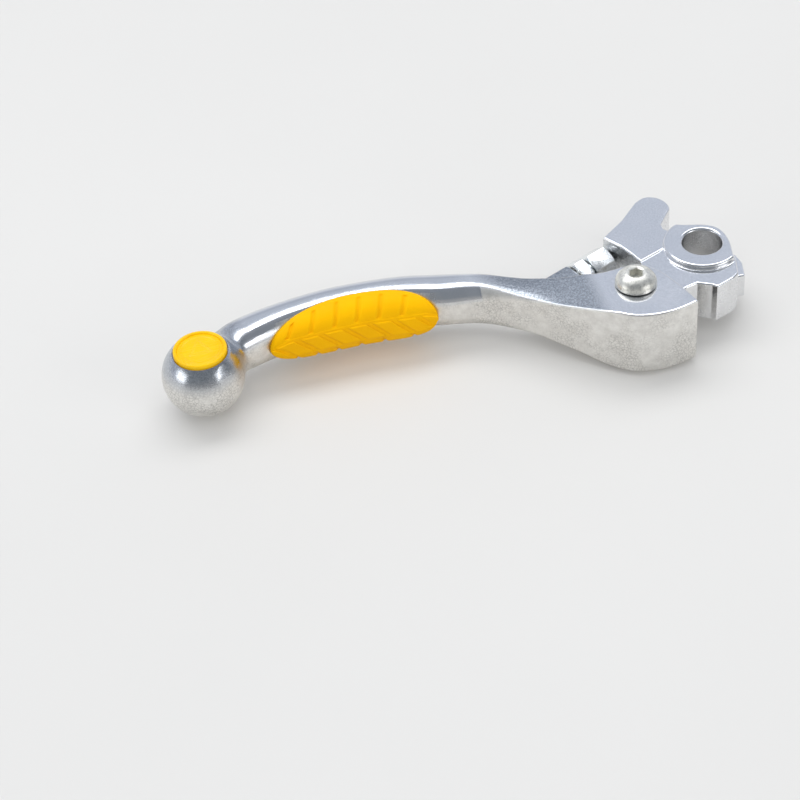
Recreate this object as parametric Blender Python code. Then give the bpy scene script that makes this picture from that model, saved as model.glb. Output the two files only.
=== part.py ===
"""Front brake lever of a motorcycle: a folding blade with a ball end, hinged on a forged knocker.

All sizes are in millimetres and turned into metres when a mesh is made. The origin is on the axis
of the knocker's main pivot bore, at mid height. +X runs from the ball towards the pivot, +Z along
the pivot's axis and -Y forwards, away from the handlebar.
"""

import math

import bmesh
import bpy
from mathutils import Matrix, Vector

MM = 0.001
FAR = 15.0  # a cutter's reach past the part
GAP = 0.3  # between two pieces that touch
UP = Vector((0, 0, 1))

# Ball end and its cap
BALL_CENTRE = Vector((-130.2, 0, 0))
BALL_RADIUS = 10.45
CAP_RADIUS = 6.7
CAP_TOP = 8.8  # above the ball's centre
CAP_RIM_DEPTH = 0.45
CAP_ROUND = 0.35
CAP_FACE_RISE = 0.2
CAP_CROWN = 0.35
CAP_RIM_WIDTH = 1.15
CAP_THICKNESS = 2.2
STEM_RADIUS = 2.1
STEM_LENGTH = 4.2

# Hinge between the blade and the knocker
HINGE = Vector((-22.1, -12.3, 0))
PLATE_TOP = 9.3  # half the blade's height at the fork
SLOT_HALF = 5.85
SLOT_RADIUS = 8.2
SCREW_RADIUS = 3.0
SCREW_HEAD_RADIUS = 5.25
SCREW_HEAD_HEIGHT = 3.3
SCREW_FLAT_RADIUS = 2.3
SCREW_RIM = 0.3
SCREW_SEAT = PLATE_TOP + GAP
SCREW_SOCKET_FLATS = 3.2
SCREW_SOCKET_DEPTH = 2.3
SCREW_END = -10.4
SCREW_DOME_SWEEP = math.radians(62)
SCREW_DOME_STEPS = 6
SOCKET_TURN = math.radians(12)
BUSH_RADIUS = 4.1
BUSH_HALF = 5.5
NUT_FLATS = 10.0
NUT_TOP = -7.6
NUT_BOTTOM = -10.8

# Knocker
WEB_HALF = 5.5
FINGER_TOP = 5.9
BOSS_HALF = 7.2
BORE_RADIUS = 5.0
BORE_CHAMFER = 0.45
TONGUE_RADIUS = 7.2
TONGUE_START = math.radians(100)
TONGUE_SWEEP = math.radians(185)
TAB_TOP = 1.5
TAB_BOTTOM = -5.49

# Reach adjuster; distances along its axis are counted from the middle of the screw's head
ADJUSTER_POINT = Vector((-25.4, 7.3, 0))
ADJUSTER_ANGLE = math.radians(23.5)
ADJUSTER_TILT = math.radians(21.4)  # of the hexagons about the axis
ADJUSTER_FLATS = 8.0
HEAD_START = -3.4
HEAD_SHOULDER = 2.6
HEAD_CROWN = ((3.9, 2.3), (3.75, 2.8), (3.2, 3.4), (2.0, 3.85), (0.7, 4.1))  # radius and distance of its dome
SHANK_RADIUS = 2.5
SHANK_END = -18.5
POINT_CHAMFER = 0.5
LOCKNUT_NEAR = -4.1
LOCKNUT_FAR = -7.65
LUG_END = -8.0
LUG_START = -24.0
LUG_RADIUS = 4.2
LUG_CHAMFER = 0.7
TAPPED_END = -21.5

# Return spring in the knocker's counterbore, round the bush
SPRING_WIRE = 0.45
SPRING_RADIUS = 5.1
SPRING_TURNS = 2.25
SPRING_PITCH = 1.1
SPRING_TOP = 5.0
COUNTERBORE_RADIUS = 5.9
COUNTERBORE_DEPTH = 4.2

# Blade: x, middle y, half depth, half height and corner radius of its sections
BLADE_SECTIONS = (
    (-131.0, 1.5, 6.5, 5.6, 5.2),
    (-126.5, 3.6, 6.9, 5.9, 5.3),
    (-122.0, 6.25, 6.85, 6.0, 5.4),
    (-116.0, 8.7, 6.1, 6.3, 5.2),
    (-107.0, 10.8, 5.5, 6.5, 5.0),
    (-96.0, 12.1, 5.4, 6.5, 5.0),
    (-86.0, 11.9, 5.3, 6.5, 5.0),
    (-76.0, 10.4, 5.6, 6.5, 5.0),
    (-68.0, 8.25, 5.75, 6.3, 4.9),
    (-61.0, 6.4, 5.3, 6.1, 4.3),
    (-56.0, 4.5, 4.9, 5.8, 3.0),
    (-51.0, 1.4, 4.7, 5.5, 1.5),
    (-46.4, -1.7, 4.9, 5.6, 0.8),
    (-41.5, -5.3, 5.7, 6.4, 0.5),
    (-37.0, -8.5, 6.5, 7.4, 0.5),
    (-33.0, -11.2, 7.5, 8.5, 0.5),
    (-29.5, -13.4, 8.2, 9.2, 0.5),
    (-26.0, -14.6, 9.3, 9.3, 0.5),
    (-21.0, -15.0, 10.1, 9.3, 0.5),
    (-15.0, -14.9, 10.0, 9.3, 0.5),
    (-8.0, -13.6, 9.3, 9.3, 0.5),
)
RINGS_PER_SPAN = 3
CORNER_STEPS = 5

# Rear edge of the blade's nose, from above the hinge round to the tip
NOSE_EDGE = ((-23.5, -4.9), (-20.6, -4.85), (-17.5, -6.2), (-14.3, -10.4), (-11.6, -17.2), (-9.8, -22.9))

# Knocker outlines, anticlockwise
WEB_EDGE = (
    (-9.2, -14.0), (-6.3, -13.3), (-2.9, -15.2), (-1.9, -16.3), (3.0, -14.4), (4.8, -12.9),
    (6.4, -7.0), (6.6, -1.0), (4.0, 4.0), (-5.0, 6.0), (-10.7, 1.4), (-16.7, -1.0), (-17.6, -6.6),
)
FINGER_EDGE = (
    (-16.7, -1.0), (-10.7, 1.4), (-5.0, 4.0), (-5.5, 8.0), (-6.8, 9.6), (-6.7, 11.6), (-4.4, 14.5),
    (-2.4, 17.1), (-2.6, 20.0), (-4.2, 22.4), (-7.2, 23.5), (-10.2, 22.2), (-15.9, 16.4),
    (-22.7, 11.2), (-19.6, 6.5), (-17.9, 2.6),
)
BOSS_EDGE_RADIUS = 9.8
BOSS_START = math.radians(114)
BOSS_SWEEP = math.radians(194)
BOSS_EDGE = ((5.7, -7.5), (6.7, -2.0), (6.5, 2.2), (5.2, 4.9), (2.3, 6.7), (-1.4, 7.9))
TAB_EDGE = ((4.0, -9.7), (8.1, -9.7), (9.3, -4.7), (8.8, -1.2), (4.0, 1.0))

# Grip insert
INSERT_MIDDLE = -91.0
INSERT_HALF_LENGTH = 21.6
INSERT_REACH = math.radians(69)  # how far it wraps from the front towards the top and the underside
INSERT_DEPTH = 2.2
INSERT_EDGE_HEIGHT = 0.5
INSERT_CROWN = 3.7
INSERT_SPREAD = 1.4
INSERT_BOXINESS = 3.0  # 2 would be an ellipse
INSERT_TIP_SHARE = 0.97
INSERT_SLICES = 29
INSERT_STEPS = 14


def clear_scene():
    for item in list(bpy.data.objects):
        bpy.data.objects.remove(item, do_unlink=True)


def material(name, colour, roughness, metallic):
    made = bpy.data.materials.new(name)
    made.use_nodes = True
    shader = made.node_tree.nodes["Principled BSDF"]
    shader.inputs["Base Color"].default_value = (*colour, 1.0)
    shader.inputs["Roughness"].default_value = roughness
    shader.inputs["Metallic"].default_value = metallic
    return made


def new_object(name, bm, origin=Vector((0, 0, 0))):
    """An object made from a bmesh in millimetres, with its origin at the given point."""
    bmesh.ops.recalc_face_normals(bm, faces=bm.faces)
    bmesh.ops.transform(bm, matrix=Matrix.Scale(MM, 4) @ Matrix.Translation(-origin), verts=bm.verts)
    mesh = bpy.data.meshes.new(name)
    bm.to_mesh(mesh)
    bm.free()
    made = bpy.data.objects.new(name, mesh)
    made.location = origin * MM
    bpy.context.scene.collection.objects.link(made)
    return made


def helper(name, bm):
    """A shape that only cuts or joins: it isn't part of the object."""
    made = new_object(name, bm)
    made.hide_render = True
    made.display_type = "WIRE"
    return made


def boolean(target, operation, other):
    modifier = target.modifiers.new(f"{operation} {other.name}".lower(), "BOOLEAN")
    modifier.operation = operation
    modifier.solver = "EXACT"
    modifier.object = other


def finish(made, finish_material, sharp=math.radians(32)):
    made.data.materials.append(finish_material)
    made.data.shade_smooth()
    made.data.set_sharp_from_angle(angle=sharp)


def loft(rings):
    """A closed solid through rings of points that all have the same count."""
    bm = bmesh.new()
    rows = [[bm.verts.new(point) for point in ring] for ring in rings]
    count = len(rows[0])
    for low, high in zip(rows, rows[1:]):
        for i in range(count):
            j = (i + 1) % count
            bm.faces.new((low[i], low[j], high[j], high[i]))
    bm.faces.new(rows[0])
    bm.faces.new(rows[-1])
    return bm


def prism(outline, low, high):
    return loft([[(x, y, z) for x, y in outline] for z in (low, high)])


def circle(radius, height, sides, place):
    turns = (2 * math.pi * i / sides for i in range(sides))
    return [place @ Vector((radius * math.cos(a), radius * math.sin(a), height)) for a in turns]


def arc(centre, radius, start, sweep, steps):
    """Points of an arc in plan."""
    turns = (start + sweep * i / steps for i in range(steps + 1))
    return [(centre.x + radius * math.cos(a), centre.y + radius * math.sin(a)) for a in turns]


def turned(profile, sides, place=Matrix.Identity(4)):
    """A solid of revolution about its own Z. The profile lists radius and height, all radii above 0."""
    return loft([circle(radius, height, sides, place) for radius, height in profile])


def drill(name, target, radius, low, high, place):
    boolean(target, "DIFFERENCE", helper(name, turned(((radius, low), (radius, high)), 24, place)))


def tube(outer, inner, low, high, sides, place=Matrix.Identity(4)):
    """A ring with square ends."""
    corners = ((outer, low), (outer, high), (inner, high), (inner, low))
    rings = [circle(radius, height, sides, place) for radius, height in corners]
    bm = bmesh.new()
    rows = [[bm.verts.new(point) for point in ring] for ring in rings]
    for low_row, high_row in zip(rows, rows[1:] + rows[:1]):
        for i in range(sides):
            j = (i + 1) % sides
            bm.faces.new((low_row[i], low_row[j], high_row[j], high_row[i]))
    return bm


def hexagon(flats, low, high, place=Matrix.Identity(4), turn=0.0):
    corners = arc(Vector((0, 0, 0)), flats / math.sqrt(3), turn, 5 * math.pi / 3, 5)
    bm = prism(corners, low, high)
    bmesh.ops.transform(bm, matrix=place, verts=bm.verts)
    return bm


def smooth_curve(points, steps):
    """Points on a Catmull-Rom curve through the given ones."""
    points = [Vector(point) for point in points]
    ends = [2 * points[0] - points[1]] + points + [2 * points[-1] - points[-2]]
    made = []
    for before, start, end, after in zip(ends, ends[1:], ends[2:], ends[3:]):
        for step in range(steps):
            t = step / steps
            made.append(0.5 * (2 * start + (end - before) * t
                               + (2 * before - 5 * start + 4 * end - after) * t * t
                               + (3 * start - before - 3 * end + after) * t ** 3))
    return made + [points[-1]]


def blade_sections():
    return smooth_curve(BLADE_SECTIONS, RINGS_PER_SPAN)


def section_at(x):
    """Middle y, half depth and half height of the blade at x."""
    rows = blade_sections()
    for low, high in zip(rows, rows[1:]):
        if low[0] <= x <= high[0]:
            return low.lerp(high, (x - low[0]) / (high[0] - low[0]))[1:4]
    raise ValueError("x is outside the blade")


def rounded_ring(x, middle, depth, height, radius):
    """A rounded rectangle across the blade, anticlockwise as seen from the pivot."""
    ring = []
    for quarter in range(4):
        side_y = 1 if quarter in (0, 3) else -1
        side_z = 1 if quarter in (0, 1) else -1
        for step in range(CORNER_STEPS):
            angle = math.pi / 2 * (quarter + step / (CORNER_STEPS - 1))
            ring.append((x, middle + side_y * (depth - radius) + radius * math.cos(angle),
                         side_z * (height - radius) + radius * math.sin(angle)))
    return ring


def axis_matrix(point, direction, turn=0.0):
    """Turns a shape built along +Z so that it runs from the point along the direction."""
    turned_up = direction.to_track_quat("Z", "Y").to_matrix().to_4x4()
    return Matrix.Translation(point) @ turned_up @ Matrix.Rotation(turn, 4, "Z")


ADJUSTER_AXIS = Vector((math.cos(ADJUSTER_ANGLE), math.sin(ADJUSTER_ANGLE), 0))
ADJUSTER_PLACE = axis_matrix(ADJUSTER_POINT, ADJUSTER_AXIS)
CAP_PLACE = Matrix.Translation(BALL_CENTRE)
HINGE_PLACE = Matrix.Translation(HINGE)


def hexagon_turn():
    """The turn that leans a flat of the adjuster's hexagons forwards from level by ADJUSTER_TILT."""
    level = ADJUSTER_PLACE.to_3x3().inverted() @ UP
    return math.atan2(level.y, level.x) + math.pi / 6 + ADJUSTER_TILT


def insert_ring(x, grow, outer_extra, inner_depth, width):
    """A slice of the insert across the blade: the outer skin, then the inner one back again.

    width runs from 0 at the insert's tips to 1 in its middle. grow widens the wrap, for the pocket.
    """
    middle, depth, height = section_at(x)
    reach = INSERT_REACH * width + grow / depth
    outer = []
    inner = []
    for step in range(INSERT_STEPS + 1):
        angle = reach * (2 * step / INSERT_STEPS - 1)
        forward = math.cos(angle)
        upward = math.sin(angle)
        bulge = width * (1 - (angle / reach) ** 4)
        front = depth + outer_extra + INSERT_EDGE_HEIGHT + INSERT_CROWN * bulge
        top = height + outer_extra + INSERT_EDGE_HEIGHT + INSERT_SPREAD * bulge
        boxed = (abs(forward) ** INSERT_BOXINESS + abs(upward) ** INSERT_BOXINESS) ** (-1 / INSERT_BOXINESS)
        outer.append((x, middle - front * forward * boxed, top * upward * boxed))
        inner.append((x, middle - (depth - inner_depth) * forward, (height - inner_depth) * upward))
    return outer + inner[::-1]


def insert_solid(grow=0.0, outer_extra=0.0, inner_depth=INSERT_DEPTH):
    rings = []
    for i in range(INSERT_SLICES):
        along = math.sin(math.pi / 2 * (2 * i / (INSERT_SLICES - 1) - 1) * INSERT_TIP_SHARE)
        width = math.sqrt(1 - along * along)
        x = INSERT_MIDDLE + (INSERT_HALF_LENGTH + grow) * along
        rings.append(insert_ring(x, grow, outer_extra, inner_depth, width))
    return loft(rings)


def make_blade(finish_material):
    rings = [rounded_ring(*row) for row in blade_sections()]
    blade = new_object("lever_blade", loft(rings))

    ball = bmesh.new()
    bmesh.ops.create_uvsphere(ball, u_segments=40, v_segments=24, radius=BALL_RADIUS,
                              matrix=Matrix.Translation(BALL_CENTRE))
    boolean(blade, "UNION", helper("ball_end", ball))

    lug = ((LUG_RADIUS, LUG_START), (LUG_RADIUS, LUG_END - LUG_CHAMFER), (LUG_RADIUS - LUG_CHAMFER, LUG_END))
    boolean(blade, "UNION", helper("adjuster_lug", turned(lug, 32, ADJUSTER_PLACE)))

    boolean(blade, "DIFFERENCE", helper("nose_trim", nose_trim()))
    boolean(blade, "DIFFERENCE", helper("fork_slot", fork_slot()))
    drill("screw_hole", blade, SCREW_RADIUS + GAP, -FAR, FAR, HINGE_PLACE)
    drill("tapped_hole", blade, SHANK_RADIUS + GAP, TAPPED_END, 0, ADJUSTER_PLACE)
    nut_pocket = hexagon(NUT_FLATS + 2 * GAP, -FAR, NUT_TOP + GAP, HINGE_PLACE)
    boolean(blade, "DIFFERENCE", helper("nut_pocket", nut_pocket))
    insert_pocket = insert_solid(grow=GAP, outer_extra=4.0, inner_depth=INSERT_DEPTH + GAP)
    boolean(blade, "DIFFERENCE", helper("insert_pocket", insert_pocket))
    boolean(blade, "DIFFERENCE", helper("cap_recess", cap_recess()))
    finish(blade, finish_material)


def cap_recess():
    floor = CAP_TOP - CAP_THICKNESS - GAP
    profile = ((STEM_RADIUS + GAP, floor - STEM_LENGTH - GAP), (STEM_RADIUS + GAP, floor),
               (CAP_RADIUS + GAP, floor), (CAP_RADIUS + GAP, FAR))
    return turned(profile, 40, CAP_PLACE)


def nose_trim():
    """Everything behind the rear edge of the nose and to the right of its tip."""
    clear_of_nose = [(-10.0, -24.0), (-9.0, -40.0), (20.0, -40.0), (20.0, 10.0), (NOSE_EDGE[0][0], 10.0)]
    return prism(smooth_curve(NOSE_EDGE, 3) + clear_of_nose, -FAR, FAR)


def fork_slot():
    """Clears the knocker's tongue over the whole swing: round at the left, open at the rear and the right."""
    left = arc(HINGE, SLOT_RADIUS, math.radians(70), math.radians(200), 16)
    outline = left + [(20.0, HINGE.y - SLOT_RADIUS), (20.0, 10.0), (left[0][0], 10.0)]
    return prism(outline, -SLOT_HALF, SLOT_HALF)


def make_knocker(finish_material):
    tongue = arc(HINGE, TONGUE_RADIUS, TONGUE_START, TONGUE_SWEEP, 14)
    knocker = new_object("knocker", prism(list(WEB_EDGE) + tongue, -WEB_HALF, WEB_HALF))

    boss = arc(Vector((0, 0, 0)), BOSS_EDGE_RADIUS, BOSS_START, BOSS_SWEEP, 20) + list(BOSS_EDGE)
    boolean(knocker, "UNION", helper("boss", prism(boss, -BOSS_HALF, BOSS_HALF)))
    finger = list(FINGER_EDGE[:5]) + smooth_curve(FINGER_EDGE[5:12], 3) + list(FINGER_EDGE[12:])
    boolean(knocker, "UNION", helper("finger", prism(finger, -FINGER_TOP, FINGER_TOP)))
    boolean(knocker, "UNION", helper("stop_tab", prism(TAB_EDGE, TAB_BOTTOM, TAB_TOP)))

    rim = BOSS_HALF - BORE_CHAMFER
    bore = ((BORE_RADIUS + 2, -rim - 2), (BORE_RADIUS, -rim), (BORE_RADIUS, rim), (BORE_RADIUS + 2, rim + 2))
    boolean(knocker, "DIFFERENCE", helper("pivot_bore", turned(bore, 40)))
    drill("bush_hole", knocker, BUSH_RADIUS + GAP, -FAR, FAR, HINGE_PLACE)
    drill("spring_counterbore", knocker, COUNTERBORE_RADIUS, WEB_HALF - COUNTERBORE_DEPTH, FAR, HINGE_PLACE)
    finish(knocker, finish_material)


def make_hinge(steel, zinc, spring_steel):
    screw = new_object("hinge_screw", turned(screw_profile(), 32, HINGE_PLACE), HINGE)
    top = SCREW_SEAT + SCREW_HEAD_HEIGHT
    socket = hexagon(SCREW_SOCKET_FLATS, top - SCREW_SOCKET_DEPTH, FAR, HINGE_PLACE, SOCKET_TURN)
    boolean(screw, "DIFFERENCE", helper("hex_socket", socket))
    finish(screw, zinc)

    bush = tube(BUSH_RADIUS, SCREW_RADIUS + GAP, -BUSH_HALF, BUSH_HALF, 28, HINGE_PLACE)
    finish(new_object("hinge_bush", bush, HINGE), steel)

    nut = new_object("hinge_nut", hexagon(NUT_FLATS, NUT_BOTTOM, NUT_TOP, HINGE_PLACE), HINGE)
    drill("hinge_nut_hole", nut, SCREW_RADIUS + GAP, -FAR, FAR, HINGE_PLACE)
    finish(nut, zinc)

    finish(new_object("return_spring", torsion_spring(), HINGE), spring_steel)


def screw_profile():
    """The shank, the head's short straight rim, then its dome up to the flat round the socket."""
    rim = SCREW_SEAT + SCREW_RIM
    rise = SCREW_HEAD_HEIGHT - SCREW_RIM
    profile = [(SCREW_RADIUS, SCREW_END), (SCREW_RADIUS, SCREW_SEAT), (SCREW_HEAD_RADIUS - 0.2, SCREW_SEAT)]
    for i in range(SCREW_DOME_STEPS + 1):
        angle = SCREW_DOME_SWEEP * i / SCREW_DOME_STEPS
        drop = (1 - math.cos(angle)) / (1 - math.cos(SCREW_DOME_SWEEP))
        radius = SCREW_HEAD_RADIUS - (SCREW_HEAD_RADIUS - SCREW_FLAT_RADIUS) * drop
        profile.append((radius, rim + rise * math.sin(angle) / math.sin(SCREW_DOME_SWEEP)))
    return profile


def torsion_spring():
    """A coil round the bush, as a tube of eight sides."""
    turn_steps = 20
    steps = round(SPRING_TURNS * turn_steps)
    start = HINGE + UP * (SPRING_TOP - SPRING_WIRE - SPRING_PITCH * SPRING_TURNS)
    path = []
    for i in range(steps + 1):
        angle = 2 * math.pi * i / turn_steps
        climb = SPRING_PITCH * i / turn_steps
        path.append(start + Vector((SPRING_RADIUS * math.cos(angle), SPRING_RADIUS * math.sin(angle), climb)))
    rings = []
    for before, point, after in zip([path[0]] + path, path, path[1:] + [path[-1]]):
        across = axis_matrix(point, after - before)
        rings.append(circle(SPRING_WIRE, 0, 8, across))
    return loft(rings)


def make_adjuster(zinc):
    place = ADJUSTER_PLACE
    head = hexagon(ADJUSTER_FLATS, HEAD_START, HEAD_SHOULDER, place, hexagon_turn())
    screw = new_object("adjuster_screw", head, ADJUSTER_POINT)
    boolean(screw, "UNION", helper("head_crown", turned(HEAD_CROWN, 32, place)))
    tip = SHANK_RADIUS - POINT_CHAMFER
    shank = ((tip, SHANK_END), (SHANK_RADIUS, SHANK_END + POINT_CHAMFER), (SHANK_RADIUS, 0))
    boolean(screw, "UNION", helper("shank", turned(shank, 24, place)))
    finish(screw, zinc)

    body = hexagon(ADJUSTER_FLATS, LOCKNUT_FAR, LOCKNUT_NEAR, place, hexagon_turn())
    nut = new_object("adjuster_locknut", body, ADJUSTER_POINT)
    drill("locknut_hole", nut, SHANK_RADIUS + GAP, LUG_START, HEAD_SHOULDER, place)
    finish(nut, zinc)


def make_cap(finish_material):
    """The stem, the flange, a rim with rounded edges and the slightly domed face inside it."""
    dish = CAP_RADIUS - CAP_RIM_WIDTH
    low = CAP_TOP - CAP_THICKNESS
    foot = low - STEM_LENGTH
    profile = ((STEM_RADIUS - CAP_ROUND, foot), (STEM_RADIUS, foot + CAP_ROUND), (STEM_RADIUS, low),
               (CAP_RADIUS, low), (CAP_RADIUS, CAP_TOP - CAP_ROUND), (CAP_RADIUS - CAP_ROUND, CAP_TOP),
               (dish + CAP_ROUND, CAP_TOP), (dish, CAP_TOP - CAP_RIM_DEPTH),
               (dish * 0.6, CAP_TOP - CAP_RIM_DEPTH + CAP_FACE_RISE),
               (dish * 0.1, CAP_TOP - CAP_RIM_DEPTH + CAP_CROWN))
    finish(new_object("ball_cap", turned(profile, 40, CAP_PLACE), BALL_CENTRE), finish_material)


def main():
    clear_scene()
    forged = material("forged_aluminium", (0.72, 0.72, 0.75), 0.3, 1.0)
    zinc = material("zinc_plated_steel", (0.78, 0.78, 0.74), 0.32, 1.0)
    steel = material("plain_steel", (0.55, 0.55, 0.57), 0.35, 1.0)
    spring_steel = material("spring_steel", (0.35, 0.35, 0.37), 0.4, 1.0)
    rubber = material("yellow_rubber", (0.95, 0.52, 0.0), 0.55, 0.0)
    plastic = material("yellow_plastic", (0.98, 0.66, 0.0), 0.25, 0.0)
    make_blade(forged)
    make_knocker(forged)
    make_hinge(steel, zinc, spring_steel)
    make_adjuster(zinc)
    make_cap(plastic)
    finish(new_object("grip_insert", insert_solid()), rubber)


main()
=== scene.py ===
"""Looks of the folding front brake lever: forged aluminium, zinc-plated fasteners and yellow inserts.

Each piece is built finer than its CAD node, in millimetres, in the frame's own axes: +X towards the
pivot, +Z up, -Y forwards. Booleans and a voxel skin give it the forging's rounded edges, and it is
turned into metres at the end.
"""

import math

import bmesh
import bpy
import numpy as np
from mathutils import Matrix, Vector


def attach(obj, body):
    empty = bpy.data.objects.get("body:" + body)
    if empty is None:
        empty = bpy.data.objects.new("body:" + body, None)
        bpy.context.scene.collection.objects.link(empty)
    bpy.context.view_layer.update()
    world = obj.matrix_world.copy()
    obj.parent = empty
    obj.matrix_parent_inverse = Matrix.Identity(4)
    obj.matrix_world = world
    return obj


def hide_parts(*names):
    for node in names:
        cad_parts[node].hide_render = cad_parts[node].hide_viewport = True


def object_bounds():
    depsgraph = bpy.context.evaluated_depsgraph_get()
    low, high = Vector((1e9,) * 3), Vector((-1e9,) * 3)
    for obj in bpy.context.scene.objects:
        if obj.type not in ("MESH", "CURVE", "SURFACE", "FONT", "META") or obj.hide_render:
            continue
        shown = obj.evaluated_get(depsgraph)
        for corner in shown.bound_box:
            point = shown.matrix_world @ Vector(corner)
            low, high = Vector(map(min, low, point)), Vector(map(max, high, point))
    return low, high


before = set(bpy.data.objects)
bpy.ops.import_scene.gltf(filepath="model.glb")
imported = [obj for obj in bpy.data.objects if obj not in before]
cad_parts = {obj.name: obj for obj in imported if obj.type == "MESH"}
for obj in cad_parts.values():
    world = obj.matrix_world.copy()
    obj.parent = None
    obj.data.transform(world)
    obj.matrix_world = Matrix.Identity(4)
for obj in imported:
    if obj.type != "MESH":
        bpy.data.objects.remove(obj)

MM = 0.001
UP = Vector((0, 0, 1))
ORIGIN = Vector((0, 0, 0))
NO_TURN = Matrix.Identity(4)
CAD_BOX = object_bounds()
GAP = 0.3

# Cuts run out of the part to these limits
FAR = 15.0
CLEAR_RIGHT = 20.0
CLEAR_REAR = 10.0
CLEAR_FRONT = -40.0

# Skins: size of the voxel grid, rounds of smoothing, and how strongly edges shine
BLADE_VOXEL = 0.22
BLADE_SMOOTHING = 5
KNOCKER_VOXEL = 0.15
KNOCKER_SMOOTHING = 4
NECK_SMOOTHING = 260
EDGE_SHINE = 3.0

# Points closer than this are merged, before and after the fasteners' edges are rounded
BEFORE_BEVEL = 0.01
AFTER_BEVEL = 0.002

# Blade: x, middle y, half depth, half height, corner radius and crown of its sections
BLADE_SECTIONS = (
    (-131.0, 1.5, 6.5, 5.6, 5.2, 0.0),
    (-126.5, 3.6, 6.9, 5.9, 5.3, 0.0),
    (-122.0, 6.25, 6.85, 6.0, 5.4, 0.0),
    (-116.0, 8.7, 6.1, 6.3, 5.2, 0.0),
    (-107.0, 10.8, 5.5, 6.5, 5.0, 0.0),
    (-96.0, 12.1, 5.4, 6.5, 5.0, 0.0),
    (-86.0, 11.9, 5.3, 6.5, 5.0, 0.0),
    (-76.0, 10.4, 5.6, 6.5, 5.0, 0.0),
    (-68.0, 8.25, 5.75, 6.3, 4.9, 0.05),
    (-61.0, 6.4, 5.3, 6.1, 4.3, 0.3),
    (-56.0, 4.5, 4.9, 5.8, 3.0, 0.5),
    (-51.0, 1.4, 4.7, 5.5, 1.4, 0.5),
    (-46.4, -1.7, 4.9, 5.6, 0.7, 0.4),
    (-41.5, -5.3, 5.7, 6.4, 0.4, 0.1),
    (-37.0, -8.5, 6.5, 7.4, 0.4, 0.0),
    (-33.0, -11.2, 7.5, 8.5, 0.3, 0.0),
    (-29.5, -13.4, 8.2, 9.2, 0.5, 0.0),
    (-26.0, -14.6, 9.3, 9.3, 0.5, 0.0),
    (-21.0, -15.0, 10.1, 9.3, 0.5, 0.0),
    (-15.0, -14.9, 10.0, 9.3, 0.5, 0.0),
    (-8.0, -13.6, 9.3, 9.3, 0.5, 0.0),
)
NOSE_EDGE = ((-23.5, -4.9), (-20.6, -4.85), (-17.5, -6.2), (-14.3, -10.4), (-11.6, -17.2), (-9.8, -22.9))
PLATE_TOP = 9.3

# Ball and cap
BALL_CENTRE = Vector((-130.2, 0, 0))
BALL_RADIUS = 10.45
CAP_RADIUS = 6.7
CAP_TOP = 8.8
CAP_THICKNESS = 2.2
RECESS_RADIUS = CAP_RADIUS + GAP
CAP_PLACE = Matrix.Translation(BALL_CENTRE)
CAP_EDGE = 0.5
CAP_RIM_WIDTH = 1.15
CAP_FACE_DROP = 0.45
CAP_CROWN = 0.3
CAP_RING_RADIUS = 4.7
CAP_TRIANGLE_REACH = 1.5
CAP_RELIEF = 0.14
CAP_RING_HALF = 0.35
CAP_TRIANGLE_HALF = 0.45
STEM_RADIUS = 2.1
STEM_LENGTH = 4.2

# Blend of the neck into the ball: how hard each round pulls, and where the blend starts and is full
NECK_PULL = 0.6
NECK_LOOSE = 0.01
NECK_OUTSIDE_BALL = (5.0, 1.0)
NECK_INSIDE_BALL = (-0.3, -0.1)
NECK_OFF_CAP = (CAP_RADIUS + 0.7, CAP_RADIUS + 1.5)
NECK_LEFT = (-127.5, -125.5)
BALL_SKIN = 0.06

# Hinge
HINGE = Vector((-22.1, -12.3, 0))
HINGE_PLACE = Matrix.Translation(HINGE)
SLOT_HALF = 5.95
SLOT_RADIUS = 8.2
TOP_BEVEL = 0.35
HINGE_HOLE = 3.3
NUT_FLATS = 10.0
NUT_POCKET_FLATS = 10.6
NUT_TOP = -7.6
NUT_BOTTOM = -10.8
SCREW_SEAT = 9.6
SCREW_RADIUS = 3.0
SCREW_END = -20.0
HEAD_HEIGHT = 3.3
HEAD_RADIUS = 5.25
HEAD_RIM = 0.35
HEAD_LAND = 2.3
SOCKET_FLATS = 3.2
SOCKET_DEPTH = 2.3
SOCKET_TURN = math.radians(12)
NUT_BEVEL = 0.07
SCREW_BEVEL = 0.06

# Reach adjuster
ADJUSTER_POINT = Vector((-25.4, 7.3, 0))
ADJUSTER_ANGLE = math.radians(23.5)
ADJUSTER_TILT = math.radians(21.4)
ADJUSTER_FLATS = 8.0
ADJUSTER_HOLE = 2.8
ADJUSTER_HOLE_END = -21.5
HEAD_START = -3.4
HEAD_SHOULDER = 3.0
DOME_RADIUS = 3.3
DOME_RISE = 1.3
SHANK_RADIUS = 2.5
SHANK_END = -18.5
LOCKNUT_NEAR = -4.1
LOCKNUT_FAR = -7.65
THREAD_PITCH = 0.8
LUG_RADIUS = 4.2
LUG_FLAT = 3.4
LUG_START = -24.0
LUG_END = -8.0
LUG_EDGE = 0.4

# Knocker sizes
WEB_HALF = 5.75
FINGER_HALF = 5.9
KNOCKER_CHAMFER = 0.3
TONGUE_RADIUS = 7.2
BOSS_RADIUS = 9.8
BOSS_HALF = 7.2
BORE_RADIUS = 5.0
BORE_LEAD = 0.45
BORE_LEAD_OUT = 2.0
TAB_LOW = -5.49
TAB_HIGH = 1.5
BUSH_HOLE = 4.4
SPRING_POCKET = 5.9
SPRING_POCKET_FLOOR = 1.3

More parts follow.
